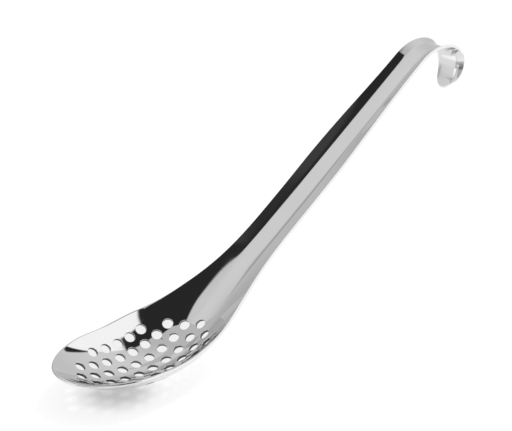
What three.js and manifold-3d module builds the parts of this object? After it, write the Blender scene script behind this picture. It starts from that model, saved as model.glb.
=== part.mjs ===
// A straining spoon pressed from one blank of polished stainless steel sheet: a long oval bowl with
// a staggered pattern of round holes, a shallow channel handle that rises behind it, and a hook at
// the end that hangs over the edge of a vessel or a rail.
//
// Frame: +X from the bowl towards the handle, +Y to the side, +Z up. The origin is on the underside
// at the bowl's lowest point, which is the spot that the spoon stands on. The whole sheet follows
// one line, the spine, which runs along the middle of its upper face; s is the length along that
// line from the lowest point, negative towards the bowl's tip.

import * as THREE from 'three';
import { mergeVertices } from 'three/addons/utils/BufferGeometryUtils.js';
import Module from 'manifold-3d';

// Sheet and holes, in millimetres
const SHEET = 0.9;
const HOLE_DIAMETER = 3;
const HOLE_PITCH = 5;
const FRONT_LAND = 5.9; // plain sheet between the bowl's tip and the field of holes
const SIDE_LAND = 4.2; // plain sheet between the bowl's rim and the field of holes
const REST_FLAT_DEPTH = 0.06; // taken off the underside where the bowl stands

// Spine, from the bowl's tip to the hook's tip: radii of the upper face and lengths along it
const BOWL_FRONT_LENGTH = 30.9;
const FLOOR_FRONT_RADIUS = 52.9;
const FLOOR_BLEND = 8; // each way from the lowest point
const FLOOR_REAR_RADIUS = 32;
const FLOOR_REAR_ANGLE = 12.5; // degrees
const NECK_BLEND = 15;
const NECK_RADIUS = 226; // the other way round, hollow on the underside
const NECK_ANGLE = 3.55; // degrees
const HANDLE_BLEND = 16;
const HANDLE_LENGTH = 66.4; // the straight run
const BEND_BLEND = 4;
const SHOULDER_RADIUS = 15.1;
const SHOULDER_ANGLE = 35.7; // degrees
const CROOK_RADIUS = 7.8;
const CROOK_ANGLE = 117; // degrees

// Outline of the upper face
const BOWL_WIDTH = 33.4;
const WIDEST_AHEAD = 7.5; // the widest place, ahead of the lowest point
const NOSE_FULLNESS = 2.13; // exponent of the rounded front, 2 is an ellipse
const REAR_TAPER = 41.1; // length of the fall from the bowl's width to the handle's
const REAR_SHARPNESS = 3.2; // exponent of that fall
const HANDLE_WIDTH = 13.9;
const HOOK_WIDTH = 10.5;
const HANDLE_TAPER_START = 20.8; // from the start of the straight run
const HANDLE_TAPER_LENGTH = 47.8;
const HOOK_TIP_LENGTH = 14.3; // the rounded end

// Section across the spoon
const SECTION_RADIUS_FRONT = 22.3; // the bowl's hollow near its tip
const SECTION_RADIUS_REAR = 15.3; // and from a little behind its lowest point
const SECTION_CHANGE_LEAD = 1; // ahead of the bowl's tip, where the hollow starts to tighten
const SECTION_CHANGE_LENGTH = 48;
const WALL_STEEPENING = 6.9e-6; // fourth-power rise of the bowl's walls, per cubic millimetre
const CHANNEL_FLOOR = 6.1; // flat floor of the handle's channel
const CHANNEL_CREASE = 0.7; // softness of the crease between floor and wall
const WALL_ANGLE_NECK = 13.4; // degrees, the channel's walls against its floor
const WALL_ANGLE_HOOK = 29.6; // degrees
const BOWL_SECTION_END = 8.9; // behind the lowest point, where the channel starts to form
const CHANNEL_START = 61.3; // where the channel is fully formed
const WALL_CHANGE_START = 8.7; // of the channel's walls, from there
const WALL_CHANGE_LENGTH = 60;

// Fineness of the faceted model
const STEPS_ACROSS = 14;
const HOLE_SIDES = 12;
const SPINE_STEP = 0.25; // of the walk along the spine
const SPINE_MARGIN = 2; // walked past each tip, so that the face has a slope there too
const FACE_STEP = 0.05; // for slopes and lengths measured on the face
const BOWL_SPACING = 2.3; // between stations of the loft
const NECK_SPACING = 3.6;
const HANDLE_SPACING = 8.5;
const SHOULDER_SPACING = 1.9;
const CROOK_SPACING = 1.25;
const TIP_SPACING = 0.9;
const NOSE_ZONE = 6; // from the bowl's tip, with stations that crowd towards it
const HOOK_TIP_ZONE = 5; // the same at the hook's tip
const TIP_CROWDING = 2; // exponent of that crowding

// Cutting tools
const PUNCH_OVERRUN = 0.8; // past each face of the sheet
const REST_CUTTER_SIZE = 20;
const WELD_DISTANCE = 1e-5;

const STEEL = { color: 0xcfd2d4, metalness: 1, roughness: 0.14 };

const radians = THREE.MathUtils.degToRad;
const smooth = (t) => THREE.MathUtils.smoothstep(t, 0, 1);

// The spine's runs behind the lowest point: a length, and the curvature at its start and end
function spineRuns() {
  const front = 1 / FLOOR_FRONT_RADIUS;
  const rear = 1 / FLOOR_REAR_RADIUS;
  const neck = -1 / NECK_RADIUS;
  const shoulder = -1 / SHOULDER_RADIUS;
  const crook = -1 / CROOK_RADIUS;
  return [
    { name: 'floor', length: FLOOR_BLEND, from: (front + rear) / 2, to: rear },
    { name: 'rear', length: FLOOR_REAR_RADIUS * radians(FLOOR_REAR_ANGLE), from: rear, to: rear },
    { name: 'rise', length: NECK_BLEND, from: rear, to: neck },
    { name: 'neck', length: NECK_RADIUS * radians(NECK_ANGLE), from: neck, to: neck },
    { name: 'handleBlend', length: HANDLE_BLEND, from: neck, to: 0 },
    { name: 'handle', length: HANDLE_LENGTH, from: 0, to: 0 },
    { name: 'shoulderBlend', length: BEND_BLEND, from: 0, to: shoulder },
    { name: 'shoulder', length: SHOULDER_RADIUS * radians(SHOULDER_ANGLE), from: shoulder, to: shoulder },
    { name: 'crookBlend', length: BEND_BLEND, from: shoulder, to: crook },
    { name: 'crook', length: CROOK_RADIUS * radians(CROOK_ANGLE), from: crook, to: crook },
  ];
}

// Where each run starts and ends, by its name
function runPlaces(runs) {
  const places = {};
  let start = 0;
  for (const run of runs) {
    places[run.name] = { start, end: start + run.length };
    start += run.length;
  }
  return places;
}

const runs = spineRuns();
const places = runPlaces(runs);
const tipStation = -BOWL_FRONT_LENGTH;
const endStation = places.crook.end;

// Curvature of the spine at s: constant in the front of the bowl, then straight lines through the runs
function curvature(s) {
  const front = 1 / FLOOR_FRONT_RADIUS;
  if (s <= -FLOOR_BLEND) return front;
  if (s < 0) return THREE.MathUtils.lerp(runs[0].from, front, -s / FLOOR_BLEND);
  for (const run of runs) {
    const { start, end } = places[run.name];
    if (s < end) return THREE.MathUtils.lerp(run.from, run.to, (s - start) / run.length);
  }
  return runs.at(-1).to;
}

// One side of the spine, walked in short steps from the lowest point: a list of { x, z, slope }
function walkSpine(length, direction) {
  const steps = Math.ceil(length / SPINE_STEP);
  const ds = direction * SPINE_STEP;
  const line = [{ x: 0, z: 0, slope: 0 }];
  for (let i = 0; i < steps; i++) {
    const last = line[i];
    const middleSlope = last.slope + curvature((i + 0.25) * ds) * ds / 2;
    line.push({
      x: last.x + Math.cos(middleSlope) * ds,
      z: last.z + Math.sin(middleSlope) * ds,
      slope: last.slope + curvature((i + 0.5) * ds) * ds,
    });
  }
  return line;
}

const frontLine = walkSpine(BOWL_FRONT_LENGTH + SPINE_MARGIN, -1);
const rearLine = walkSpine(endStation + SPINE_MARGIN, 1);

function spineAt(s) {
  const line = s < 0 ? frontLine : rearLine;
  const step = Math.abs(s) / SPINE_STEP;
  const i = Math.min(Math.floor(step), line.length - 2);
  const mix = (key) => THREE.MathUtils.lerp(line[i][key], line[i + 1][key], step - i);
  return { x: mix('x'), z: mix('z'), slope: mix('slope') };
}

// Half the width of the upper face at s: a rounded front, a fall to the handle and a rounded tip
function halfWidth(s) {
  const bowl = BOWL_WIDTH / 2;
  const ahead = Math.max(-WIDEST_AHEAD - s, 0) / (BOWL_FRONT_LENGTH - WIDEST_AHEAD);
  if (ahead > 0) return bowl * Math.max(1 - ahead ** NOSE_FULLNESS, 0) ** (1 / NOSE_FULLNESS);
  const taper = smooth((s - places.handle.start - HANDLE_TAPER_START) / HANDLE_TAPER_LENGTH);
  const handle = THREE.MathUtils.lerp(HANDLE_WIDTH, HOOK_WIDTH, taper) / 2;
  const fall = Math.exp(-(((s + WIDEST_AHEAD) / REAR_TAPER) ** REAR_SHARPNESS));
  const intoTip = Math.max(s - endStation + HOOK_TIP_LENGTH, 0) / HOOK_TIP_LENGTH;
  return THREE.MathUtils.lerp(handle, bowl, fall) * Math.sqrt(Math.max(1 - intoTip ** 2, 0));
}

// Height of the bowl's hollow above the spine, y to the side
function bowlRise(s, y) {
  const start = tipStation - SECTION_CHANGE_LEAD;
  const front = 0.5 / SECTION_RADIUS_FRONT;
  const rear = 0.5 / SECTION_RADIUS_REAR;
  const hollow = THREE.MathUtils.lerp(front, rear, smooth((s - start) / SECTION_CHANGE_LENGTH));
  return hollow * y ** 2 + WALL_STEEPENING * y ** 4;
}

// Height of the channel above the spine: a flat floor, and straight walls past soft creases
function channelRise(s, y) {
  const change = smooth((s - CHANNEL_START - WALL_CHANGE_START) / WALL_CHANGE_LENGTH);
  const neck = Math.tan(radians(WALL_ANGLE_NECK));
  const hook = Math.tan(radians(WALL_ANGLE_HOOK));
  const ramp = (v) => (Math.hypot(v, CHANNEL_CREASE) + v) / 2;
  const edge = CHANNEL_FLOOR / 2;
  const rise = ramp(y - edge) + ramp(-y - edge) - 2 * ramp(-edge);
  return THREE.MathUtils.lerp(neck, hook, change) * rise;
}

function rise(s, y) {
  const channel = smooth((s - BOWL_SECTION_END) / (CHANNEL_START - BOWL_SECTION_END));
  return THREE.MathUtils.lerp(bowlRise(s, y), channelRise(s, y), channel);
}

// A point of the upper face
function upperPoint(s, y) {
  const { x, z, slope } = spineAt(s);
  const h = rise(s, y);
  return new THREE.Vector3(x - h * Math.sin(slope), y, z + h * Math.cos(slope));
}

// The upper face's outward normal, from short steps along and across
function upperNormal(s, y) {
  const along = upperPoint(s + FACE_STEP, y).sub(upperPoint(s - FACE_STEP, y));
  const across = upperPoint(s, y + FACE_STEP).sub(upperPoint(s, y - FACE_STEP));
  return along.cross(across).normalize();
}

const lowerPoint = (s, y) => upperPoint(s, y).addScaledVector(upperNormal(s, y), -SHEET);

// Spaced numbers after start up to end, crowded towards the start where the exponent is above 1
function spaced(start, end, spacing, exponent = 1) {
  const count = Math.max(Math.ceil((end - start) / spacing), 2);
  const share = (i) => ((i + 1) / count) ** exponent;
  return Array.from({ length: count }, (_, i) => THREE.MathUtils.lerp(start, end, share(i)));
}

// Stations of the loft: close together at both rounded ends and round the hook
function stations() {
  const noseEnd = tipStation + NOSE_ZONE;
  const hookTipStart = endStation - HOOK_TIP_ZONE;
  const hookTip = spaced(endStation, hookTipStart, -TIP_SPACING, TIP_CROWDING).reverse();
  return [
    tipStation,
    ...spaced(tipStation, noseEnd, TIP_SPACING, TIP_CROWDING),
    ...spaced(noseEnd, places.rise.end, BOWL_SPACING),
    ...spaced(places.rise.end, places.handle.start, NECK_SPACING),
    ...spaced(places.handle.start, places.handle.end, HANDLE_SPACING),
    ...spaced(places.handle.end, places.shoulder.end, SHOULDER_SPACING),
    ...spaced(places.shoulder.end, hookTipStart, CROOK_SPACING),
    ...hookTip.slice(1),
    endStation,
  ];
}

// The sheet without its holes: both faces and the cut edge, closed by one point a face at each tip
function sheetGeometry() {
  const rows = stations();
  const positions = [];
  const grids = [upperPoint, lowerPoint].map((point) => rows.map((s, i) => {
    const pole = i === 0 || i === rows.length - 1;
    const half = pole ? 0 : halfWidth(s);
    const columns = pole ? 1 : STEPS_ACROSS + 1;
    return Array.from({ length: STEPS_ACROSS + 1 }, (_, j) => {
      if (j >= columns) return positions.length / 3 - 1;
      const y = pole ? 0 : half * (2 * j / STEPS_ACROSS - 1);
      positions.push(...point(s, y).toArray());
      return positions.length / 3 - 1;
    });
  }));
  const [upper, lower] = grids;
  const index = [];
  const triangle = (a, b, c) => {
    if (a !== b && b !== c && c !== a) index.push(a, b, c);
  };
  const quad = (a, b, c, d) => {
    triangle(a, b, c);
    triangle(a, c, d);
  };
  for (let i = 0; i + 1 < rows.length; i++) {
    for (let j = 0; j < STEPS_ACROSS; j++) {
      quad(upper[i][j], upper[i + 1][j], upper[i + 1][j + 1], upper[i][j + 1]);
      quad(lower[i][j], lower[i][j + 1], lower[i + 1][j + 1], lower[i + 1][j]);
    }
    const last = STEPS_ACROSS;
    quad(upper[i][0], lower[i][0], lower[i + 1][0], upper[i + 1][0]);
    quad(upper[i][last], upper[i + 1][last], lower[i + 1][last], lower[i][last]);
  }
  const geometry = new THREE.BufferGeometry();
  geometry.setAttribute('position', new THREE.Float32BufferAttribute(positions, 3));
  geometry.setIndex(index);
  return geometry;
}

// The sideways place whose distance from the spine, measured along the upper face, is q
function placeAcross(s, q) {
  let y = 0;
  let walked = 0;
  while (walked < Math.abs(q)) {
    const climb = rise(s, y + FACE_STEP) - rise(s, y);
    walked += Math.hypot(FACE_STEP, climb);
    y += FACE_STEP;
  }
  return Math.sign(q) * y;
}

// The bowl's half width at its lowest point, measured along the upper face
function halfGirth() {
  let girth = 0;
  for (let y = 0; y < halfWidth(0); y += FACE_STEP) {
    const climb = rise(0, y + FACE_STEP) - rise(0, y);
    girth += Math.hypot(FACE_STEP, climb);
  }
  return girth;
}

// Hole centres { s, q }: staggered rows on equilateral triangles, kept inside an oval field
function holeCentres() {
  const halfLength = BOWL_FRONT_LENGTH - FRONT_LAND;
  const halfBreadth = halfGirth() - SIDE_LAND;
  const rowPitch = HOLE_PITCH * Math.sin(Math.PI / 3);
  const rowCount = Math.ceil(halfBreadth / rowPitch);
  const holeCount = Math.ceil(halfLength / HOLE_PITCH);
  const centres = [];
  for (let row = -rowCount; row <= rowCount; row++) {
    const shift = row % 2 === 0 ? 0.5 : 0;
    for (let k = -holeCount - 1; k <= holeCount; k++) {
      const s = (k + shift) * HOLE_PITCH;
      const q = row * rowPitch;
      if (Math.hypot(s / halfLength, q / halfBreadth) < 1) centres.push({ s, q });
    }
  }
  return centres;
}

// A punch for one hole, square to the sheet
function punchGeometry({ s, q }) {
  const y = placeAcross(s, q);
  const normal = upperNormal(s, y);
  const centre = upperPoint(s, y).addScaledVector(normal, -SHEET / 2);
  const radius = HOLE_DIAMETER / 2;
  const length = SHEET + 2 * PUNCH_OVERRUN;
  const punch = new THREE.CylinderGeometry(radius, radius, length, HOLE_SIDES);
  const turn = new THREE.Quaternion().setFromUnitVectors(new THREE.Vector3(0, 1, 0), normal);
  return punch.applyQuaternion(turn).translate(centre.x, centre.y, centre.z);
}

// Everything below the height at which the bowl's underside is flattened
function restCutter() {
  const size = REST_CUTTER_SIZE;
  const top = -SHEET + REST_FLAT_DEPTH;
  return new THREE.BoxGeometry(size, size, size).translate(0, 0, top - size / 2);
}

const wasm = await Module();
wasm.setup();

function toSolid(geometry) {
  const bare = geometry.clone();
  bare.deleteAttribute('normal');
  bare.deleteAttribute('uv');
  const merged = mergeVertices(bare, WELD_DISTANCE);
  return new wasm.Manifold(new wasm.Mesh({
    numProp: 3,
    vertProperties: new Float32Array(merged.attributes.position.array),
    triVerts: new Uint32Array(merged.index.array),
  }));
}

function toGeometry(solid) {
  const mesh = solid.getMesh();
  const geometry = new THREE.BufferGeometry();
  geometry.setAttribute('position', new THREE.BufferAttribute(mesh.vertProperties, 3));
  geometry.setIndex(new THREE.BufferAttribute(mesh.triVerts, 1));
  geometry.computeVertexNormals();
  return geometry;
}

// The finished pressing, set down so that its rest flat is at height 0
function spoonMesh() {
  let solid = toSolid(sheetGeometry());
  for (const centre of holeCentres()) solid = solid.subtract(toSolid(punchGeometry(centre)));
  solid = solid.subtract(toSolid(restCutter()));
  const mesh = new THREE.Mesh(toGeometry(solid), new THREE.MeshStandardMaterial(STEEL));
  mesh.name = 'perforated_spoon';
  mesh.position.z = SHEET - REST_FLAT_DEPTH;
  return mesh;
}

const spoon = new THREE.Group();
spoon.add(spoonMesh());

export default spoon;
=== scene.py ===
"""A straining spoon pressed from polished steel sheet, standing on its bowl on a white table.

The sheet follows one line, the spine, along the middle of its upper face. A point of the face is
given by s, the length along the spine from the bowl's lowest point, and y, the place to the side.
"""

import bpy
import numpy as np
from bpy.props import FloatProperty, FloatVectorProperty, PointerProperty
from mathutils import Matrix, Vector
from mathutils.geometry import delaunay_2d_cdt


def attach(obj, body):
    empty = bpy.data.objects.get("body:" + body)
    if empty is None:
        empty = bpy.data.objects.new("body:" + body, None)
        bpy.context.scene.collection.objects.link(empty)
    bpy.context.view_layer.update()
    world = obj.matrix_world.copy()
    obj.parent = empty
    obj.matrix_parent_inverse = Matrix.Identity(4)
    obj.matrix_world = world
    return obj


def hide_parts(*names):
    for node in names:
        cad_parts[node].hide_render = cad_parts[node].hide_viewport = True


bl_info = {
    "name": "Straining Spoon",
    "version": (1, 0, 0),
    "blender": (4, 5, 0),
    "location": "View3D > Sidebar > Spoon",
    "description": "Models a perforated spoon pressed from polished steel sheet",
    "category": "Add Mesh",
}

# Steps and counts for measuring the face, in metres.
SPINE_STEP = 0.00005
SPINE_MARGIN = 0.002  # walked past each tip
SLOPE_STEP = 0.00004
GIRTH_SAMPLES = 400
SIDE_REACH, SIDE_SAMPLES = 0.02, 401  # from the spine past the rim

# Fineness of the mesh. A grid has its step along s, its step across and its columns to each side.
RIM_STEP, RIM_SAMPLES = 0.00045, 4000
ROUND_ROWS = 7  # of a quarter round
HOLE_SIDES = 44
HOLE_RINGS = ((0.00022, 1), (0.00055, 2))  # points round a hole: how much wider, for one side in how many
HOLE_CLEAR, RIM_CLEAR = 0.0009, 0.0006  # kept free of the grid
BOWL_GRID, BOWL_GRID_END = (0.00075, 0.0007, 26), 0.045
HANDLE_GRID = (0.0011, 0.00045, 24)
HOOK_GRID, HOOK_GRID_LEAD = (0.0005, 0.00045, 24), 0.002
MERGE_DISTANCE = 0.000001  # of the triangulation, in millimetres

NOISE_MIDDLE = 0.5  # of a noise that runs from 0 to 1
TABLE_SIDE = 3  # times the width over which it fades, so that its border is out of sight
SENSOR_WIDTH = 36.0  # of the camera, in millimetres
STRAIGHT_UP = 0.0001  # the least share of a direction that is divided by

# Outlines on the stage, x and y in metres. The pool is a painted shadow on the ground under the bowl,
# which the bowl hides from the camera but for its holes. The bowl's floor shows the cards where it
# would else show the dark part of the room.
POOL_EDGE = (
    (-0.0205, 0.008), (-0.015, 0.0005), (-0.008, -0.003), (0.002, -0.0045), (0.014, -0.003), (0.026, 0.0014),
    (0.034, 0.007), (0.037, 0.013), (0.037, 0.019), (0.034, 0.025), (0.027, 0.029), (0.014, 0.0305),
    (0.002, 0.03), (-0.006, 0.028), (-0.013, 0.0245), (-0.019, 0.018),
)
UPPER_CARD = (
    (0.0127, 0.0089), (0.015, 0.0097), (0.018, 0.0104), (0.024, 0.0108), (0.024, 0.016), (0.0127, 0.016),
)
LOWER_CARD = (
    (0.0118, 0.0069), (0.013, 0.0069), (0.015, 0.0067), (0.0163, 0.0061), (0.0183, 0.0054), (0.019, 0.0035),
    (0.0118, 0.0035),
)

# Angles from straight up, in degrees, and shares of a direction, where the surroundings change.
ZENITH_END, WALL_TOP, WALL_FOOT = 3, 42, 80
GROUND_START, GROUND_FULL = 92, 112
FLANK_START, FLANK_FULL = 0.3, 0.85
FRONT_START, FRONT_FULL = 0.2, -0.4

# Patches of the surroundings overhead, laid one over the other: the brightness that each takes and
# its borders. A border (a, b, limit, softness) keeps a px + b py under the limit, in degrees.
OVERHEAD_PATCHES = {
    "overhead": (
        "gloom",
        ((-0.2, 1, -10.8, 1), (1, -0.21, 29.8, 1), (-1, 0, 28, 2), (0, -1, 44, 3), (-0.8, -1, 47, 3)),
    ),
    "ledge": ("gloom", ((0, 1, -6.5, 1), (1, 0, -4.5, 1), (-1, 0, 28, 2), (0, -1, 20, 1))),
    "beside": ("gloom", ((1, 0, -16.6, 1), (-1, 1, 32, 1.5), (-1, 0, 28, 2), (0, -1, 10, 1))),
    "stripe": (
        "gloom",
        ((1, 0, 0.5, 1), (1, 0.286, 1.07, 1), (-1, 0, 19, 1), (-1.6, 1, 42.5, 1), (0, 1, 36, 3),
         (0, -1, 12.5, 1)),
    ),
    "sheen": ("sheen", ((1, 0, -10.2, 0.5), (-1, 0, 13.5, 0.5), (0, 1, 17, 2), (0, -1, 10, 1))),
    "seam": ("seam", ((0, -1, -49, 4), (0, 1, 61.3, 1), (-1, 0, 6, 2), (1, 0, 8.5, 1))),
    "thread": ("gloom", ((-1, 0, -46, 2), (1, 0, 60.5, 1), (-0.56, 1, -33.6, 1), (0.56, -1, 39, 1))),
    "upturn": ("gloom", ((-1, 0, -55, 1), (1, 0, 60.5, 1), (0, 1, -4, 1), (0, -1, 15, 2))),
    "softbox": ("softbox", ((-1, 0, -6.5, 1), (-0.44, 1, -34, 1.2))),
    "beyond": ("softbox", ((-1, 0, -29, 1.5), (0, 1, -8, 1))),
}

# Patches past the bowl's tip: the brightness, the right and left edges in degrees from there, the
# top and bottom edges in degrees from straight up, and the softness.
FACING_PATCHES = {
    "bounce": ("bounce", (25, 75, 132, 158, 8)),
    "shade": ("shade", (-40, 27, 62, 132, 6)),
    "brow": ("shade", (10, 47, 34, 58, 4)),
    "screen": ("screen", (3, 30, 64, 100, 5)),
    "flag": ("flag", (-20, -9, 99, 119, 6)),
}

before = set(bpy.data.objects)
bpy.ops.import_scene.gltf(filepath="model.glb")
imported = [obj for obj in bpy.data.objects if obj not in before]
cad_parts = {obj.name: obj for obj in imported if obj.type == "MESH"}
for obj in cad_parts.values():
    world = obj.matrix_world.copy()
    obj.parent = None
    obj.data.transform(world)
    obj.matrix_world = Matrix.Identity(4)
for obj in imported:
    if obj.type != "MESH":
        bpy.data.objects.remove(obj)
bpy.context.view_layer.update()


def length(name, description, default):
    """A property that holds a length in metres."""
    return FloatProperty(name=name, description=description, default=default, unit="LENGTH", precision=5)


def angle(name, description, degrees):
    """A property that holds an angle, with its default in degrees."""
    return FloatProperty(name=name, description=description, default=np.radians(degrees), unit="ROTATION")


def number(name, description, default, **limits):
    """A property that holds a plain number."""
    return FloatProperty(name=name, description=description, default=default, precision=4, **limits)


class SpoonSheet(bpy.types.PropertyGroup):
    """The sheet, its holes and its cut edges."""

    thickness: length("Thickness", "Thickness of the sheet", 0.0009)
    rest_flat: length("Rest flat", "Taken off the underside where the bowl stands", 0.00006)
    hole: length("Hole diameter", "Diameter of a punched hole", 0.003)
    pitch: length("Hole pitch", "Distance between neighbouring holes", 0.005)
    front_land: length("Front land", "Plain sheet between the bowl's tip and the holes", 0.0059)
    side_land: length("Side land", "Plain sheet between the bowl's rim and the holes", 0.0042)
    rim_round: length("Rim rounding", "Radius of the rounded edges along the bowl's rim", 0.0004)
    handle_round: length("Handle rounding", "Radius of the rounded edges along the handle", 0.00008)
    hole_round: length("Hole rounding", "Radius of the rounded edges of a hole", 0.00014)


class SpoonSpine(bpy.types.PropertyGroup):
    """The line that the sheet follows, from the bowl's tip to the hook's tip."""

    bowl_front: length("Bowl front", "From the lowest point to the bowl's tip", 0.0309)
    floor_front: length("Front radius", "Radius of the floor ahead of the lowest point", 0.0529)
    floor_blend: length("Floor blend", "Change of radius, each way from the lowest point", 0.008)
    floor_rear: length("Rear radius", "Radius of the floor behind the lowest point", 0.032)
    rear_angle: angle("Rear angle", "Turn of the floor's rear arc", 12.5)
    neck_blend: length("Neck blend", "Change from the bowl to the neck", 0.015)
    neck_radius: length("Neck radius", "Radius of the neck, the other way round", 0.226)
    neck_angle: angle("Neck angle", "Turn of the neck", 3.55)
    handle_blend: length("Handle blend", "Change from the neck to the straight handle", 0.016)
    handle: length("Handle length", "The straight run of the handle", 0.0664)
    bend_blend: length("Bend blend", "Change of radius at the hook's bends", 0.004)
    shoulder_radius: length("Shoulder radius", "Radius where the handle bends over", 0.0151)
    shoulder_angle: angle("Shoulder angle", "Turn of the shoulder", 35.7)
    crook_radius: length("Crook radius", "Radius of the hook", 0.0078)
    crook_angle: angle("Crook angle", "Turn of the hook", 117)


class SpoonOutline(bpy.types.PropertyGroup):
    """The outline of the upper face."""

    bowl_width: length("Bowl width", "Greatest width of the bowl", 0.0334)
    widest_ahead: length("Widest place", "Of the bowl, ahead of its lowest point", 0.0075)
    nose_fullness: number("Nose fullness", "Exponent of the rounded front, 2 is an ellipse", 2.13)
    rear_taper: length("Rear taper", "Length of the fall from bowl to handle", 0.0411)
    rear_sharpness: number("Rear sharpness", "Exponent of that fall", 3.2)
    handle_width: length("Handle width", "Width of the handle", 0.0139)
    hook_width: length("Hook width", "Width of the hook", 0.0105)
    taper_start: length("Taper start", "From the start of the straight run", 0.0208)
    taper_length: length("Taper length", "Of the handle's width", 0.0478)
    tip_length: length("Tip length", "The hook's rounded end", 0.0143)


class SpoonSection(bpy.types.PropertyGroup):
    """The section across the spoon."""

    front_radius: length("Front hollow", "Radius across the bowl near its tip", 0.0223)
    rear_radius: length("Rear hollow", "Radius across the bowl behind its lowest point", 0.0153)
    change_lead: length("Hollow change lead", "Where it starts to change, ahead of the bowl's tip", 0.001)
    change: length("Hollow change", "Length from one hollow to the other", 0.048)
    steepening: number("Wall steepening", "Fourth-power rise of the bowl's walls, per cubic metre", 6900.0)
    floor: length("Channel floor", "Width of the channel's flat floor", 0.0061)
    crease: length("Crease", "Softness between the channel's floor and walls", 0.0004)
    floor_radius: length("Floor hollow", "Radius of the channel's slightly hollow floor", 0.09)
    neck_wall: angle("Neck wall angle", "The channel's walls at the neck", 13.4)
    hook_wall: angle("Hook wall angle", "The channel's walls at the hook", 29.6)
    bowl_end: length("Bowl section end", "Where the channel starts to form", 0.0089)
    channel_start: length("Channel start", "Where the channel is fully formed", 0.0613)
    wall_change_start: length("Wall change start", "Of the walls, from there", 0.0087)
    wall_change: length("Wall change", "Length of the change of the walls", 0.060)


class SpoonSteel(bpy.types.PropertyGroup):
    """The finish of the steel."""

    colour: FloatVectorProperty(
        name="Colour", description="Colour of the polished steel", subtype="COLOR",
        default=(0.75, 0.75, 0.75),
    )
    tint: number("Tint", "How far the colour wanders, to each side", 0.03, min=0.0, max=1.0)
    tint_scale: number("Tint scale", "Fineness of those wanderings", 90.0)
    gloss: number("Roughness", "Roughness of the mirror polish", 0.025, min=0.0, max=1.0)
    smudge: number("Smudge", "How much handling dulls the polish", 0.04, min=0.0, max=1.0)
    smudge_scale: number("Smudge scale", "Fineness of the smudges", 55.0)
    smudge_start: number("Smudge start", "Cloudiness where a smudge starts", 0.46)
    smudge_full: number("Smudge full", "Cloudiness where it is full", 0.72)
    buffing: number("Buffing", "Strength of the fine buffing lines", 0.05, min=0.0, max=1.0)
    line_scale: FloatVectorProperty(
        name="Line scale", description="Fineness of the buffing lines along, across and up",
        default=(60.0, 2600.0, 900.0),
    )
    bump: number("Bump", "How much of their depth the lines show", 0.08, min=0.0, max=1.0)
    line_depth: length("Line depth", "Depth of the buffing lines", 0.00002)
    cut_shade: number("Cut shade", "Of the punched walls, against the polish", 0.12, min=0.0, max=1.0)
    cut_rough: number("Cut roughness", "Roughness of the punched walls", 0.4, min=0.0, max=1.0)


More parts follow.
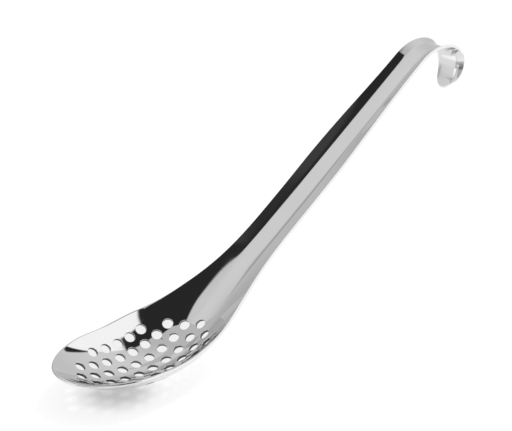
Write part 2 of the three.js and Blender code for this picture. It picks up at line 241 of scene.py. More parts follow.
class SpoonStage(bpy.types.PropertyGroup):
    """The table, the surroundings and the camera."""

    place: FloatVectorProperty(
        name="Camera place", description="Where the camera stands", subtype="TRANSLATION", unit="LENGTH",
        default=(-0.29452, -0.37131, 0.25707),
    )
    elevation: angle("Elevation", "How far the camera looks down", 23.903)
    azimuth: angle("Azimuth", "Turn of the camera about the vertical", 42.371)
    roll: angle("Roll", "Turn of the camera about its own line of sight", 2.168)
    focal: number("Focal length", "Of the camera's lens, in millimetres", 133.6)
    table_centre: FloatVectorProperty(
        name="Table centre", description="Middle of the visible table, ahead of where the bowl stands",
        subtype="TRANSLATION", unit="LENGTH", default=(-0.018, -0.002, 0.0),
    )
    table_reach: length("Table reach", "Where the table starts to fade into the white surroundings", 0.014)
    table_fade: length("Table fade", "Width of that fade", 0.04)
    table_white: number("Table white", "How much of the light the table gives back", 0.3)
    table_rough: number("Table roughness", "Roughness of the table", 0.9, min=0.0, max=1.0)
    table_drop: length("Table drop", "How far under the spoon the table lies", 0.0001)
    table_glow: number("Table glow", "Light that the table gives by itself", 0.7)
    # Painted shadow: the table's glow is lowered round the core centre, in front of where the bowl stands.
    painted_core_shadow: number("Core shade", "How much less of it in front of where the bowl stands", 0.33)
    core_centre: FloatVectorProperty(
        name="Core centre", description="Middle of that shade", subtype="TRANSLATION", unit="LENGTH",
        default=(-0.0125, -0.0022, 0.0),
    )
    core_reach: length("Core reach", "Where that shade has gone", 0.014)
    core_full: length("Core full", "Where that shade is full", 0.003)
    # Painted light: the table's glow is raised under the bowl, for light that holes and steel throw there.
    painted_under_light: number("Glow under the bowl", "Light that the holes and the steel throw down there", 0.15)
    under_centre: FloatVectorProperty(
        name="Under centre", description="Middle of that light", subtype="TRANSLATION", unit="LENGTH",
        default=(0.003, 0.004, 0.0),
    )
    under_reach: length("Under reach", "Where that light has gone", 0.017)
    under_full: length("Under full", "Where that light is full", 0.005)
    surround: number("Surroundings", "Brightness of the white surroundings", 0.79)
    zenith: number("Zenith", "The same straight overhead", 0.6)
    horizon: number("Horizon", "Brightness of the surroundings behind the spoon, low down", 0.52)
    flank: number("Flank", "Brightness of the surroundings past the hook, low down", 0.67)
    flank_bow: number("Flank ahead", "The same past the bowl's tip", 0.85)
    ground: number("Ground", "Brightness of the surroundings under the table's height", 0.92)
    ground_front: number("Ground in front", "The same on the camera's side", 1.15)
    softbox: number("Softbox", "Brightness of the light beside the camera", 1.17)
    screen: number("Screen", "Brightness of the white screen past the bowl's tip", 1.35)
    shade: number("Shade", "Brightness around that screen and above it", 0.52)
    flag: number("Flag", "Brightness of the small dark card under that screen", 0.15)
    bounce: number("Bounce", "Brightness of the floor between that screen and the far side", 1.2)
    gloom: number("Gloom", "Brightness of the dark part of the room overhead", 0.025)
    sheen: number("Sheen", "Brightness of its paler strip", 0.055)
    seam: number("Seam", "Brightness of the dim line that the crease of the handle shows", 0.45)
    # Painted shadow: the pool is a grey patch that stands in for the shade on the ground under the bowl.
    pool: number("Pool", "Brightness of the ground that shows through the holes", 0.875)
    pool_full: number("Pool full", "How far out it is full, as a share of its outline", 0.86)
    card_high: length("Upper card height", "How high the upper small grey card hangs", 0.018)
    card_low: length("Lower card height", "How high the lower one hangs", 0.011)
    key: number("Window", "Strength of the broad light from behind, in watts per square metre", 1.4)
    key_spread: angle("Window spread", "Angle that the broad light fills", 100)
    key_azimuth: angle("Window azimuth", "Where in the sky it stands, from +X towards +Y", 30)
    key_elevation: angle("Window elevation", "How high it stands", 78)
    beam: number("Lamp", "Strength of the small light from the handle's side", 0.7)
    beam_spread: angle("Lamp spread", "Angle that the small light fills", 8)
    beam_azimuth: angle("Lamp azimuth", "Where in the sky it stands, from +X towards +Y", 5)
    beam_elevation: angle("Lamp elevation", "How high it stands", 52)
    backdrop: number("Backdrop", "Brightness of the surroundings as the camera itself sees them", 1.05)


class Shape:
    """The sheet's upper face as functions of s and y, in metres."""

    def __init__(self, settings):
        self.sheet = settings.sheet
        self.spine = settings.spine
        self.outline = settings.outline
        self.section = settings.section
        self.walk_spine()

    def walk_spine(self):
        """The curvature runs in straight lines through its knots, and is added up to slope and place."""
        sp = self.spine
        arcs = (
            (2 * sp.floor_blend, 1 / sp.floor_rear),
            (sp.floor_rear * sp.rear_angle, 1 / sp.floor_rear),
            (sp.neck_blend, -1 / sp.neck_radius),
            (sp.neck_radius * sp.neck_angle, -1 / sp.neck_radius),
            (sp.handle_blend, 0.0),
            (sp.handle, 0.0),
            (sp.bend_blend, -1 / sp.shoulder_radius),
            (sp.shoulder_radius * sp.shoulder_angle, -1 / sp.shoulder_radius),
            (sp.bend_blend, -1 / sp.crook_radius),
            (sp.crook_radius * sp.crook_angle, -1 / sp.crook_radius),
        )
        knots = np.cumsum([-sp.floor_blend] + [run for run, _ in arcs])
        curvatures = np.array([1 / sp.floor_front] + [after for _, after in arcs])
        self.handle_start, self.handle_end, self.end = knots[5], knots[6], knots[-1]
        self.tip = -sp.bowl_front
        self.s = np.arange(self.tip - SPINE_MARGIN, self.end + SPINE_MARGIN, SPINE_STEP)
        curvature = np.interp(self.s, knots, curvatures)
        self.slope = self.added_up(curvature)
        self.x = self.added_up(np.cos(self.slope))
        self.z = self.added_up(np.sin(self.slope))

    def added_up(self, rate):
        """The sum of a rate along the spine, zero at the lowest point."""
        steps = np.diff(self.s) * (rate[1:] + rate[:-1]) / 2
        total = np.concatenate([[0.0], np.cumsum(steps)])
        return total - np.interp(0.0, self.s, total)

    def half_width(self, s):
        """Rounded front, a fall from bowl to handle like exp(-t^n), and an elliptical tip."""
        out, sp = self.outline, self.spine
        bowl = out.bowl_width / 2
        ahead = np.clip((-out.widest_ahead - s) / (sp.bowl_front - out.widest_ahead), 0, 1)
        front = bowl * (1 - ahead**out.nose_fullness) ** (1 / out.nose_fullness)
        taper = smooth((s - self.handle_start - out.taper_start) / out.taper_length)
        handle = (out.handle_width + (out.hook_width - out.handle_width) * taper) / 2
        behind = np.clip(s + out.widest_ahead, 0, None) / out.rear_taper
        rear = handle + (bowl - handle) * np.exp(-(behind**out.rear_sharpness))
        into_tip = np.clip((s - self.end + out.tip_length) / out.tip_length, 0, 1)
        return np.where(ahead > 0, front, rear * np.sqrt(1 - into_tip**2))

    def rise(self, s, y):
        """Height above the spine: a bowl of second and fourth powers that becomes a flat channel."""
        sec = self.section
        change = smooth((s - self.tip + sec.change_lead) / sec.change)
        hollow = (1 - change) * 0.5 / sec.front_radius + change * 0.5 / sec.rear_radius
        bowl = hollow * y**2 + sec.steepening * y**4
        walls = smooth((s - sec.channel_start - sec.wall_change_start) / sec.wall_change)
        neck, hook = np.tan(sec.neck_wall), np.tan(sec.hook_wall)

        def ramp(v):
            return (np.hypot(v, sec.crease) + v) / 2

        edge = sec.floor / 2
        channel = (neck + (hook - neck) * walls) * (ramp(y - edge) + ramp(-y - edge) - 2 * ramp(-edge))
        channel = channel + np.minimum(np.abs(y), edge) ** 2 / (2 * sec.floor_radius)
        formed = smooth((s - sec.bowl_end) / (sec.channel_start - sec.bowl_end))
        return bowl + (channel - bowl) * formed

    def point(self, s, y):
        """A point of the upper face: the spine's place plus the rise square to the spine."""
        slope = np.interp(s, self.s, self.slope)
        rise = self.rise(s, y)
        x = np.interp(s, self.s, self.x) - rise * np.sin(slope)
        z = np.interp(s, self.s, self.z) + rise * np.cos(slope)
        lift = self.sheet.thickness - self.sheet.rest_flat
        return np.stack([x, y + 0 * x, z + lift], -1)

    def slopes(self, s, y):
        """How the point moves with s and with y, from short steps."""
        step = SLOPE_STEP
        along = (self.point(s + step, y) - self.point(s - step, y)) / (2 * step)
        across = (self.point(s, y + step) - self.point(s, y - step)) / (2 * step)
        return along, across

    def normal(self, s, y):
        """The upper face's outward direction."""
        return unit(np.cross(*self.slopes(s, y)))

    def shifted(self, s, y, move):
        """The s and y of the point of the face that lies a small move in space away."""
        along, across = self.slopes(s, y)
        aa, ab, bb = dot(along, along), dot(along, across), dot(across, across)
        am, bm = dot(along, move), dot(across, move)
        scale = aa * bb - ab * ab
        return s + (bb * am - ab * bm) / scale, y + (aa * bm - ab * am) / scale

    def place_across(self, s, q):
        """The y whose distance from the spine along the face is q."""
        y = np.linspace(0, SIDE_REACH, SIDE_SAMPLES)
        rise = self.rise(np.full_like(y, s), y)
        walked = np.concatenate([[0.0], np.cumsum(np.hypot(np.diff(y), np.diff(rise)))])
        return np.sign(q) * np.interp(abs(q), walked, y)

    def hole_centres(self):
        """Staggered rows on equilateral triangles, kept inside an oval field."""
        sh = self.sheet
        y = np.linspace(0, float(self.half_width(np.array(0.0))), GIRTH_SAMPLES)
        girth = np.hypot(np.diff(y), np.diff(self.rise(0 * y, y))).sum()
        half_length = self.spine.bowl_front - sh.front_land
        half_breadth = girth - sh.side_land
        row_pitch = sh.pitch * np.sin(np.pi / 3)
        rows = int(np.ceil(half_breadth / row_pitch))
        count = int(np.ceil(half_length / sh.pitch))
        centres = []
        for row in range(-rows, rows + 1):
            for k in range(-count - 1, count + 1):
                s = (k + (0.5 if row % 2 == 0 else 0.0)) * sh.pitch
                q = row * row_pitch
                if np.hypot(s / half_length, q / half_breadth) < 1:
                    centres.append((s, float(self.place_across(s, q))))
        return np.array(centres)


def smooth(t):
    """Smoothstep from 0 to 1."""
    t = np.clip(t, 0, 1)
    return t * t * (3 - 2 * t)


def dot(a, b):
    """The scalar product of rows of vectors."""
    return (a * b).sum(-1)


def unit(v):
    """Rows of vectors, each at length 1."""
    return v / np.linalg.norm(v, axis=-1, keepdims=True)


def edge_rows(thickness, radius):
    """Rows of a cut edge, two quarter rounds: inset, depth, and the normal's shares of face and edge.

    The face's share is rounded, so that it is truly nothing where the round meets the wall.
    """
    turn = np.linspace(0, np.pi / 2, ROUND_ROWS)
    shares = np.stack([np.cos(turn).round(9), np.sin(turn)], -1)
    upper = [(radius * (1 - edge), radius * (1 - face), face, edge) for face, edge in shares]
    lower = [(inset, thickness - depth, -face, edge) for inset, depth, face, edge in upper[::-1]]
    return upper + lower


def rim_loop(shape):
    """The rim as a closed loop of s and y, evenly spaced, and its outward direction in the face."""
    t = np.linspace(0, np.pi, RIM_SAMPLES)
    s = shape.tip + (shape.end - shape.tip) * (1 - np.cos(t)) / 2
    side = shape.point(s, shape.half_width(s))
    walked = np.concatenate([[0.0], np.cumsum(np.linalg.norm(np.diff(side, axis=0), axis=1))])
    count = int(walked[-1] / RIM_STEP)
    even = np.interp(np.linspace(0, walked[-1], count + 1), walked, s)
    s = np.concatenate([even, even[-2:0:-1]])
    y = np.concatenate([-shape.half_width(even), shape.half_width(even[-2:0:-1])])
    places = shape.point(s, y)
    tangent = unit(np.roll(places, -1, 0) - np.roll(places, 1, 0))
    return s, y, unit(np.cross(tangent, shape.normal(s, y)))


def ring(shape, centre, radius, count):
    """A circle of s and y round a hole's centre, drawn in the face, and its inward direction."""
    s, y = (np.full(count, v) for v in centre)
    normal = shape.normal(s, y)
    first = unit(shape.slopes(s, y)[0])
    second = np.cross(normal, first)
    turn = np.linspace(0, 2 * np.pi, count, endpoint=False)[:, None]
    spoke = np.cos(turn) * first + np.sin(turn) * second
    rs, ry = shape.shifted(s, y, radius * spoke)
    return rs, ry, -spoke


def face_points(shape, rim, centres, clear):
    """Points inside the face: a grid whose step follows the curvature, clear of rim and holes."""
    hook = shape.handle_end - HOOK_GRID_LEAD
    runs = (
        (shape.tip, BOWL_GRID_END, BOWL_GRID),
        (BOWL_GRID_END, hook, HANDLE_GRID),
        (hook, shape.end, HOOK_GRID),
    )
    grids = []
    for start, end, (along, across, columns) in runs:
        s = np.arange(start, end, along)
        y = np.arange(-columns, columns + 1) * across
        grids.append(np.stack(np.meshgrid(s, y, indexing="ij"), -1).reshape(-1, 2))
    points = np.concatenate(grids)
    points = points[np.abs(points[:, 1]) < shape.half_width(points[:, 0])]
    near = np.full(len(points), np.inf)
    for corner in np.stack(rim[:2], -1):
        near = np.minimum(near, np.linalg.norm(points - corner, axis=1))
    points = points[near > RIM_CLEAR]
    apart = np.linalg.norm(points[:, None] - centres[None], axis=2).min(1)
    return points[apart > clear]


def triangulate(points, loops):
    """Constrained triangles over the plane of s and y; triangles of one loop's own points are holes."""
    edges = np.concatenate([np.stack([loop, np.roll(loop, -1)], -1) for loop in loops])
    millimetres = [Vector(p) for p in (points * 1000).tolist()]
    _, _, faces, origins, _, _ = delaunay_2d_cdt(millimetres, edges.tolist(), [], 0, MERGE_DISTANCE)
    origin = np.array([o[0] for o in origins])
    return origin[np.array(faces)]


def lay_out_face(shape, rim, rim_round, centres):
    """The face's points in s and y, and the numbers of those along the rim and round each hole."""
    edge = shape.sheet.hole / 2 + shape.sheet.hole_round
    points, loops = [], []

    def take(s, y):
        """Adds points and gives their numbers."""
        start = sum(map(len, points))
        points.append(np.stack([s, y], -1))
        return np.arange(start, start + len(s))

    loops.append(take(*shape.shifted(rim[0], rim[1], -rim_round[:, None] * rim[2])))
    for centre in centres:
        loops.append(take(*ring(shape, centre, edge, HOLE_SIDES)[:2]))
        for wider, share in HOLE_RINGS:
            take(*ring(shape, centre, edge + wider, HOLE_SIDES // share)[:2])
    points.append(face_points(shape, rim, centres, edge + HOLE_CLEAR))
    return np.concatenate(points), loops


def face_triangles(points, loops):
    """Triangles that face up, without those that fill a hole or span a hollow of the rim's outline."""
    faces = triangulate(points, loops)
    owner = np.full(len(points), -1)
    for k, loop in enumerate(loops):
        owner[loop] = k
    owners = owner[faces]
    same = (owners[:, 0] == owners[:, 1]) & (owners[:, 1] == owners[:, 2])
    middle_s, middle_y = points[faces].mean(1).T
    rim_s, rim_y = points[loops[0][: len(loops[0]) // 2 + 1]].T
    half_width = np.interp(middle_s, rim_s, -rim_y, left=0, right=0)
    outside = (owners[:, 0] == 0) & same & (np.abs(middle_y) > half_width)
    faces = faces[~((same & (owners[:, 0] > 0)) | outside)]
    turned = np.cross(*(points[faces[:, k]] - points[faces[:, 0]] for k in (1, 2)))
    faces[turned < 0] = faces[turned < 0][:, ::-1]
    return faces


def press_sheet(shape):
    """Vertices, normals and faces of the whole sheet, in metres, and which vertices a punch has cut.

    The face is laid above and again below, a thickness down its normal, and rows of quads join the
    two along the rim and down each hole.
    """
    sh = shape.sheet
    rim = rim_loop(shape)
    centres = shape.hole_centres()
    onto_handle = smooth(rim[0] / shape.spine.handle_blend - 1)
    rim_round = sh.rim_round + (sh.handle_round - sh.rim_round) * onto_handle
    points, loops = lay_out_face(shape, rim, rim_round, centres)
    faces = face_triangles(points, loops)
    total = len(points)
    s, y = (points[:, k].copy() for k in (0, 1))
    upper, normal = shape.point(s, y), shape.normal(s, y)
    places = [upper, upper - sh.thickness * normal]
    normals = [normal, -normal]
    cut = [np.zeros(2 * total)]
    quads = []
    built = 2 * total
    for k, loop in enumerate(loops):
        rows = edge_rows(sh.thickness, rim_round if k == 0 else sh.hole_round)
        strip = [loop]
        for inset, depth, face_share, edge_share in rows[1:-1]:
            if k == 0:
                es, ey = shape.shifted(rim[0], rim[1], -inset[:, None] * rim[2])
                outward = rim[2]
            else:
                es, ey, outward = ring(shape, centres[k - 1], sh.hole / 2 + inset, HOLE_SIDES)
            up = shape.normal(es, ey)
            places.append(shape.point(es, ey) - np.reshape(depth, (-1, 1)) * up)
            normals.append(unit(face_share * up + edge_share * outward))
            cut.append(np.full(len(loop), float(k > 0 and face_share == 0)))
            strip.append(np.arange(built, built + len(loop)))
            built += len(loop)
        strip.append(loop + total)
        strip = np.array(strip)
        ahead = np.roll(strip, -1, 1)
        quads.append(np.stack([strip[:-1], strip[1:], ahead[1:], ahead[:-1]], -1).reshape(-1, 4))
    tris = np.concatenate([faces, faces[:, ::-1] + total])
    return np.concatenate(places), np.concatenate(normals), tris, np.concatenate(quads), np.concatenate(cut)


def outward_quads(places, normals, quads):
    """Turns each quad so that it faces the way its corners' normals do."""
    corners = places[quads]
    face = np.cross(corners[:, 2] - corners[:, 0], corners[:, 3] - corners[:, 1])
    wrong = dot(face, normals[quads].mean(1)) < 0
    quads[wrong] = quads[wrong][:, ::-1]
    return quads


def mesh_object(name, places, normals, tris, quads):
    """A smooth mesh object from arrays, with the surface's own normals."""
    mesh = bpy.data.meshes.new(name)
    mesh.from_pydata(places.tolist(), [], tris.tolist() + quads.tolist())
    mesh.validate()
    mesh.shade_smooth()
    mesh.normals_split_custom_set_from_vertices(normals.tolist())
    piece = bpy.data.objects.new(name, mesh)
    bpy.context.scene.collection.objects.link(piece)
    return piece


def mark_points(piece, name, values):
    """Gives each vertex of an object a number that its material reads by name."""
    piece.data.attributes.new(name, "FLOAT", "POINT").data.foreach_set("value", values)


class Tree:
    """Adds nodes to a node tree and links them."""

    def __init__(self, tree):
        self.tree = tree

    def node(self, kind, inputs=None, **settings):
        """A new node, with its settings made and its inputs fed."""
        node = self.tree.nodes.new(kind)
        for key, value in settings.items():
            setattr(node, key, value)
        for key, value in (inputs or {}).items():
            self.feed(node.inputs[key], value)
        return node

    def feed(self, socket, value):
        """Links another node's output to a socket, or sets the socket to a plain value."""
        if isinstance(value, bpy.types.NodeSocket):
            self.tree.links.new(value, socket)
        else:
            socket.default_value = value

    def math(self, operation, *values):
        """One sum, product or other operation on numbers or on other nodes' outputs."""
        node = self.node("ShaderNodeMath", operation=operation)
        for socket, value in zip(node.inputs, values):
            self.feed(socket, value)
        return node.outputs[0]

    def ease(self, value, low, high):
        """Smoothly from 0 at low to 1 at high; low may be the larger."""
        node = self.node("ShaderNodeMapRange", interpolation_type="SMOOTHSTEP")
        for key, part in (("Value", value), ("From Min", low), ("From Max", high)):
            self.feed(node.inputs[key], part)
        return node.outputs[0]


def given_wear(finish):
    """What the group of handling wear is given, by the names of its inputs."""
    return {"Roughness": finish.gloss, "Smudge": finish.smudge, "Buffing": finish.buffing}


def wear_group(finish):
    """Handling wear: broad smudges and fine buffing lines along the spoon, as roughness and height."""
    group = bpy.data.node_groups.new("polish_wear", "ShaderNodeTree")
    for name, default in given_wear(finish).items():
        socket = group.interface.new_socket(name, in_out="INPUT", socket_type="NodeSocketFloat")
        socket.default_value = default
    for name in ("Roughness", "Height"):
        group.interface.new_socket(name, in_out="OUTPUT", socket_type="NodeSocketFloat")
    t = Tree(group)
    given = t.node("NodeGroupInput").outputs
    place = t.node("ShaderNodeTexCoord").outputs["Object"]
    cloud = t.node("ShaderNodeTexNoise", {
        "Vector": place, "Scale": finish.smudge_scale, "Detail": 4.0, "Roughness": 0.55,
    })
    patch = t.ease(cloud.outputs["Fac"], finish.smudge_start, finish.smudge_full)
    stretched = t.node("ShaderNodeMapping", {"Vector": place, "Scale": finish.line_scale})
    lines = t.node("ShaderNodeTexNoise", {"Vector": stretched.outputs[0], "Scale": 1.0, "Detail": 3.0})
    fine = t.math("SUBTRACT", lines.outputs["Fac"], NOISE_MIDDLE)
    dulled = t.math("MULTIPLY", patch, given["Smudge"])
    grained = t.math("MULTIPLY", t.math("ABSOLUTE", fine), given["Buffing"])
    rough = t.math("ADD", given["Roughness"], t.math("ADD", dulled, grained))
    height = t.math("MULTIPLY", fine, given["Buffing"])
    t.node("NodeGroupOutput", {"Roughness": rough, "Height": height})
    return group


def blank_material(name):
    """A new material without nodes, and its tree."""
    material = bpy.data.materials.new(name)
    material.use_nodes = True
    material.node_tree.nodes.clear()
    return material, Tree(material.node_tree)


def steel_material(finish):
    """Mirror-polished stainless steel with smudges and buffing lines."""
    material, t = blank_material("polished_steel")
    cut = t.node("ShaderNodeAttribute", attribute_name="punched").outputs["Fac"]
    wear = t.node("ShaderNodeGroup", node_tree=wear_group(finish))
    for name, value in given_wear(finish).items():
        t.feed(wear.inputs[name], value)
    place = t.node("ShaderNodeTexCoord").outputs["Object"]
    tint = t.node("ShaderNodeTexNoise", {"Vector": place, "Scale": finish.tint_scale, "Detail": 2.0})

    def tone(share):
        """The steel's colour, this much as bright."""
        return (*(min(c * share, 1) for c in finish.colour), 1)

    def blend(share, first, second):
        """The first colour, or the second as far as the share goes."""
        mix = t.node("ShaderNodeMix", data_type="RGBA")
        for name, value in (("Factor", share), ("A", first), ("B", second)):
            t.feed(mix.inputs[name], value)
        return mix.outputs["Result"]

    colour = blend(tint.outputs["Fac"], tone(1 - finish.tint), tone(1 + finish.tint))
    shade = blend(cut, colour, tone(finish.cut_shade))
    rough = t.math("ADD", wear.outputs["Roughness"], t.math("MULTIPLY", cut, finish.cut_rough))
    bump = t.node("ShaderNodeBump", {
        "Strength": finish.bump, "Distance": finish.line_depth, "Height": wear.outputs["Height"],
    })
    steel = t.node("ShaderNodeBsdfPrincipled", {
        "Base Color": shade,
        "Metallic": 1.0,
        "Roughness": rough,
        "Normal": bump.outputs["Normal"],
    })
    t.node("ShaderNodeOutputMaterial", {"Surface": steel.outputs[0]})
    return material


def table_material(stage):
    """A white table that fades out into the white surroundings, away from the bowl. Its glow carries
    a painted shadow in front of where the bowl stands and painted light under the bowl.
    """
    material, t = blank_material("white_table")
    place = t.node("ShaderNodeTexCoord").outputs["Object"]

    def away(centre):
        """The distance from a centre, in metres."""
        return t.node("ShaderNodeVectorMath", {0: place, 1: centre}, operation="DISTANCE").outputs["Value"]

    # Painted light under the bowl and painted shadow in front of it, both in the table's glow.
    under = t.ease(away(stage.under_centre), stage.under_reach, stage.under_full)
    core = t.ease(away(stage.core_centre), stage.core_reach, stage.core_full)
    lit = t.math("ADD", t.math("MULTIPLY", under, stage.painted_under_light), stage.table_glow)
    glow = t.math("SUBTRACT", lit, t.math("MULTIPLY", core, stage.painted_core_shadow))
    shine = t.node("ShaderNodeCombineColor", {"Red": glow, "Green": glow, "Blue": glow})
    top = t.node("ShaderNodeBsdfPrincipled", {
        "Base Color": (stage.table_white,) * 3 + (1,),
        "Roughness": stage.table_rough,
        "Specular IOR Level": 0.0,
        "Emission Color": shine.outputs["Color"],
        "Emission Strength": 1.0,
        "Alpha": t.ease(away(stage.table_centre), stage.table_reach + stage.table_fade, stage.table_reach),
    })
    t.node("ShaderNodeOutputMaterial", {"Surface": top.outputs[0]})
    return material


def glow_material(name, strength):
    """A plain emitter, with its tree and its shader, which isn't joined to an output yet."""
    material, t = blank_material(name)
    glow = t.node("ShaderNodeEmission", {"Color": (1, 1, 1, 1), "Strength": strength})
    return material, t, glow.outputs[0]


def stage_mesh(name, corners, faces, material):
    """A flat mesh object of the stage, linked to the scene."""
    mesh = bpy.data.meshes.new(name)
    mesh.from_pydata(corners, [], faces)
    mesh.materials.append(material)
    thing = bpy.data.objects.new(name, mesh)
    bpy.context.scene.collection.objects.link(thing)
    return thing


def add_table(stage):
    """The white table top just under the spoon."""
    half = TABLE_SIDE * (stage.table_reach + stage.table_fade) / 2
    corners = [(x * half, y * half, -stage.table_drop) for x, y in ((-1, -1), (1, -1), (1, 1), (-1, 1))]
    table = stage_mesh("table", corners, [(0, 1, 2, 3)], table_material(stage))


def add_pool(stage):
    """A painted shadow: dimmer ground under the bowl that shows through the holes, soft towards its
    edge, which only the camera sees.
    """
    edge = np.array(POOL_EDGE)
    middle = edge.mean(axis=0)
    rings = np.concatenate([middle + stage.pool_full * (edge - middle), edge])
    n = len(edge)
    quads = [(i, i + n, (i + 1) % n + n, (i + 1) % n) for i in range(n)]
    material, t, grey = glow_material("painted_shadow_under_bowl", stage.pool)
    depth = t.node("ShaderNodeAttribute", attribute_name="depth").outputs["Fac"]
    clear = t.node("ShaderNodeBsdfTransparent").outputs[0]
    soft = t.node("ShaderNodeMixShader", {0: depth, 1: clear, 2: grey})
    t.node("ShaderNodeOutputMaterial", {"Surface": soft.outputs[0]})
    corners = [(x, y, -stage.table_drop / 2) for x, y in rings]
    pool = stage_mesh("pool", corners, [tuple(range(n)), *quads], material)
    mark_points(pool, "depth", np.repeat((1.0, 0.0), n))
    pool.visible_glossy = pool.visible_diffuse = pool.visible_shadow = False


def add_card(stage):
    """Two small grey cards close above the bowl, which only the steel sees."""
    material, t, grey = glow_material("grey_card", stage.zenith)
    t.node("ShaderNodeOutputMaterial", {"Surface": grey})
    corners = [(x, y, stage.card_high) for x, y in UPPER_CARD]
    upper = tuple(range(len(corners)))
    corners += [(x, y, stage.card_low) for x, y in LOWER_CARD]
    lower = tuple(range(len(upper), len(corners)))
    card = stage_mesh("card", corners, [upper, lower], material)
    card.visible_camera = card.visible_diffuse = card.visible_shadow = False


def add_light(name, strength, spread, azimuth, elevation):
    """A far light that the table sees and the mirror doesn't, given by where it stands in the sky."""
    data = bpy.data.lights.new(name, "SUN")
    data.energy = strength
    data.angle = spread
    light = bpy.data.objects.new(name, data)
    level = np.cos(elevation)
    towards = Vector((np.cos(azimuth) * level, np.sin(azimuth) * level, np.sin(elevation)))
    light.rotation_euler = towards.to_track_quat("Z", "Y").to_euler()
    light.visible_glossy = False
    bpy.context.scene.collection.objects.link(light)


def build_surroundings(stage):
    """White surroundings with a dark stretch overhead and a softbox beside the camera.

    A direction is placed by its angle from straight up, laid out flat: px towards +X and py
    towards +Y, both in degrees. The bow is its angle round from the bowl's tip.
    """
    world = bpy.data.worlds.new("studio")
    bpy.context.scene.world = world
    world.use_nodes = True
    world.node_tree.nodes.clear()
    t = Tree(world.node_tree)
    direction = t.node("ShaderNodeTexCoord").outputs["Generated"]
    way = t.node("ShaderNodeSeparateXYZ", {"Vector": direction}).outputs
    x, y = way["X"], way["Y"]
    down = t.math("DEGREES", t.math("ARCCOSINE", way["Z"]))
    flat = t.math("SQRT", t.math("ADD", t.math("MULTIPLY", x, x), t.math("MULTIPLY", y, y)))
    spread = t.math("DIVIDE", down, t.math("MAXIMUM", flat, STRAIGHT_UP))
    px, py = t.math("MULTIPLY", x, spread), t.math("MULTIPLY", y, spread)
    bow = t.math("DEGREES", t.math("ARCTAN2", y, t.math("MULTIPLY", x, -1.0)))

    def border(a, b, limit, soft):
        """1 on the near side of a patch's border overhead and 0 past it."""
        value = t.math("ADD", t.math("MULTIPLY", px, a), t.math("MULTIPLY", py, b))
        return t.ease(value, limit + soft, limit - soft)

    def facing(right, left, top, bottom, soft):
        """The same for the four edges of a patch past the bowl's tip."""
        return (
            t.ease(bow, right - soft, right + soft), t.ease(bow, left + soft, left - soft),
            t.ease(down, top - soft, top + soft), t.ease(down, bottom + soft, bottom - soft),
        )

    def mixed(first, second, share):
        """The first brightness, or the second as far as the share goes."""
        return t.math("ADD", t.math("MULTIPLY", t.math("SUBTRACT", second, first), share), first)

    low = mixed(stage.horizon, stage.flank, t.ease(x, FLANK_START, FLANK_FULL))
    low = mixed(low, stage.flank_bow, t.ease(x, -FLANK_START, -FLANK_FULL))
    high = mixed(stage.zenith, stage.surround, t.ease(down, ZENITH_END, WALL_TOP))
    wall = mixed(low, high, t.ease(down, WALL_FOOT, WALL_TOP))
    ground = mixed(stage.ground, stage.ground_front, t.ease(y, FRONT_START, FRONT_FULL))
    glow = mixed(wall, ground, t.ease(down, GROUND_START, GROUND_FULL))
    patches = [(level, [border(*edge) for edge in borders]) for level, borders in OVERHEAD_PATCHES.values()]
    patches += [(level, facing(*edges)) for level, edges in FACING_PATCHES.values()]
    for level, (mask, *parts) in patches:
        for part in parts:
            mask = t.math("MULTIPLY", mask, part)
        glow = mixed(glow, getattr(stage, level), mask)
    seen = t.node("ShaderNodeLightPath").outputs["Is Camera Ray"]
    strength = mixed(glow, stage.backdrop, seen)
    sky = t.node("ShaderNodeBackground", {"Color": (1, 1, 1, 1), "Strength": strength})
    t.node("ShaderNodeOutputWorld", {"Surface": sky.outputs[0]})


def add_camera(stage):
    """A camera turned by elevation and azimuth, then rolled about its line of sight."""
    ce, se = np.cos(stage.elevation), np.sin(stage.elevation)
    ca, sa = np.cos(stage.azimuth), np.sin(stage.azimuth)
    back = Vector((-sa * ce, -ca * ce, se))
    right = Vector((ca, -sa, 0))
    up = back.cross(right)
    cr, sr = np.cos(stage.roll), np.sin(stage.roll)
    axes = Matrix((cr * right - sr * up, sr * right + cr * up, back)).transposed()
    data = bpy.data.cameras.new("camera")
    data.lens = stage.focal
    data.sensor_width = SENSOR_WIDTH
    camera = bpy.data.objects.new("camera", data)
    camera.matrix_world = Matrix.Translation(Vector(stage.place)) @ axes.to_4x4()
    bpy.context.scene.collection.objects.link(camera)
    bpy.context.scene.camera = camera


class PressSpoon(bpy.types.Operator):
    """Press the perforated spoon from its sheet"""

    bl_idname = "spoon.press"
    bl_label = "Press Spoon"

    def execute(self, context):
        settings = context.scene.spoon
        shape = Shape(settings)
        places, normals, tris, quads, cut = press_sheet(shape)
        piece = mesh_object("pressed_spoon", places, normals, tris, outward_quads(places, normals, quads))
        mark_points(piece, "punched", cut)
        piece.data.materials.append(steel_material(settings.steel))
        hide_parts("perforated_spoon")
        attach(piece, "root")
        return {"FINISHED"}


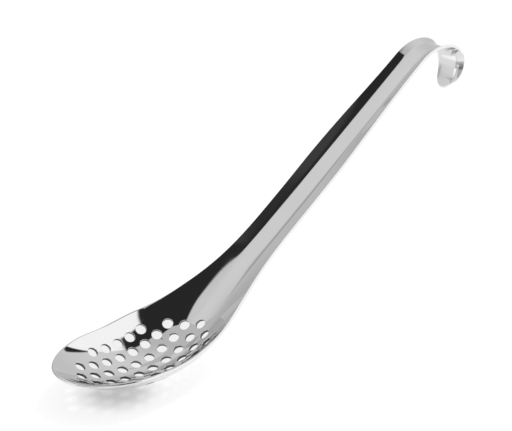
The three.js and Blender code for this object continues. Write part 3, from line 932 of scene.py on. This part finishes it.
class SetStage(bpy.types.Operator):
    """Lay the table and set the surroundings and the camera"""

    bl_idname = "spoon.stage"
    bl_label = "Set Stage"

    def execute(self, context):
        stage = context.scene.spoon.stage
        add_table(stage)
        add_pool(stage)
        add_card(stage)
        add_light("window", stage.key, stage.key_spread, stage.key_azimuth, stage.key_elevation)
        add_light("lamp", stage.beam, stage.beam_spread, stage.beam_azimuth, stage.beam_elevation)
        build_surroundings(stage)
        add_camera(stage)
        context.scene.view_settings.view_transform = "Standard"
        return {"FINISHED"}


class SpoonSettings(bpy.types.PropertyGroup):
    """All settings of the spoon and its stage."""

    sheet: PointerProperty(type=SpoonSheet)
    spine: PointerProperty(type=SpoonSpine)
    outline: PointerProperty(type=SpoonOutline)
    section: PointerProperty(type=SpoonSection)
    steel: PointerProperty(type=SpoonSteel)
    stage: PointerProperty(type=SpoonStage)


class SpoonPanel(bpy.types.Panel):
    """Lists the steps and the settings."""

    bl_idname = "VIEW3D_PT_spoon"
    bl_label = "Straining Spoon"
    bl_space_type = "VIEW_3D"
    bl_region_type = "UI"
    bl_category = "Spoon"

    def draw(self, context):
        """A button for each step and a box for each group of settings."""
        layout = self.layout
        for step in (PressSpoon, SetStage):
            layout.operator(step.bl_idname)
        settings = context.scene.spoon
        for part in ("sheet", "spine", "outline", "section", "steel", "stage"):
            group = getattr(settings, part)
            box = layout.box()
            box.label(text=part.capitalize())
            for name in group.bl_rna.properties.keys():
                if name not in ("rna_type", "name"):
                    box.prop(group, name)


CLASSES = (
    SpoonSheet, SpoonSpine, SpoonOutline, SpoonSection, SpoonSteel, SpoonStage, SpoonSettings,
    PressSpoon, SetStage, SpoonPanel,
)


def register():
    """Registers the classes and hangs the settings on the scene."""
    for cls in CLASSES:
        bpy.utils.register_class(cls)
    bpy.types.Scene.spoon = PointerProperty(type=SpoonSettings)


def unregister():
    """Takes both away again."""
    del bpy.types.Scene.spoon
    for cls in reversed(CLASSES):
        bpy.utils.unregister_class(cls)


def main():
    """Registers the classes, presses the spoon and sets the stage."""
    register()
    bpy.ops.spoon.press()
    bpy.ops.spoon.stage()


if __name__ == "__main__":
    main()
